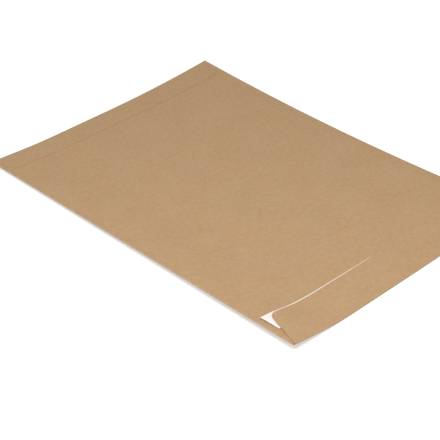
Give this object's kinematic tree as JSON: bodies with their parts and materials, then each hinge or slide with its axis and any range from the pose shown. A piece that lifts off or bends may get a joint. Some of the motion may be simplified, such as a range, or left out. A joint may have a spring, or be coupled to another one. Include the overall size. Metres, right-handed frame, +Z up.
{
  "type": "mailing envelope",
  "caption": "Flat pocket envelope of plain kraft board for posting papers, with a folded seal flap over a covered adhesive strip and a glued bottom flap.",
  "frame": {"origin": "centre of the envelope's outline, on the surface it lies on", "axes": "+X across the width towards the glued side, +Y along the length from the mouth to the closed bottom, +Z up and out of the back panel"},
  "size_m": [0.2285, 0.324, 0.0079],
  "materials": {
    "kraft_board": "plain unbleached kraft board, matte",
    "adhesive": "clear pressure-sensitive adhesive, tacky",
    "liner_paper": "white siliconed release paper, slight sheen"
  },
  "bodies": {
    "root": {"folded_board": "kraft_board", "adhesive_strip": "adhesive", "release_liner": "liner_paper"}
  },
  "joints": []
}
